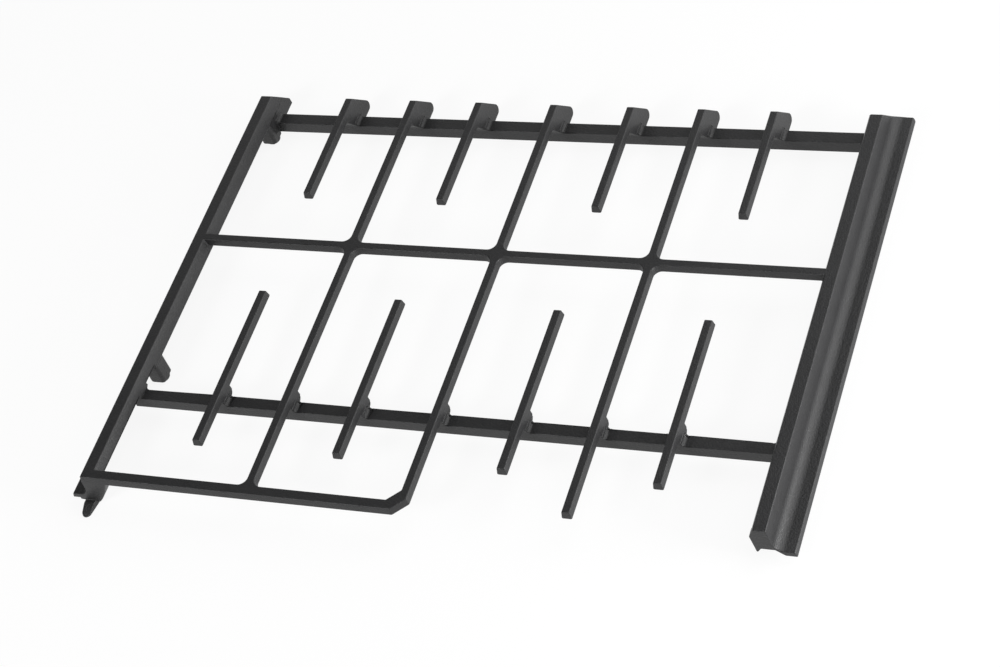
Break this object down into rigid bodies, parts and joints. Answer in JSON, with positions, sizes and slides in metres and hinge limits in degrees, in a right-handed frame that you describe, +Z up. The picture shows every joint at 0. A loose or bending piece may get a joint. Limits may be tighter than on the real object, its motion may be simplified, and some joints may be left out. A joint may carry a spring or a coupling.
{
  "type": "hob pan support",
  "caption": "Cast iron pan support for a gas hob: crossing bars and short fingers carried between coved end rails, with sloping back ends and a loop at the front.",
  "frame": {"origin": "on the floor below the middle of the part's bounding box", "axes": "+X along the long side from the rail with the tongue to the other rail, +Y towards the sloping back ends, +Z up"},
  "size_m": [0.4872, 0.3666, 0.029],
  "materials": {
    "casting": "matt enamel"
  },
  "bodies": {
    "root": {"pan_support": "casting"}
  },
  "joints": []
}
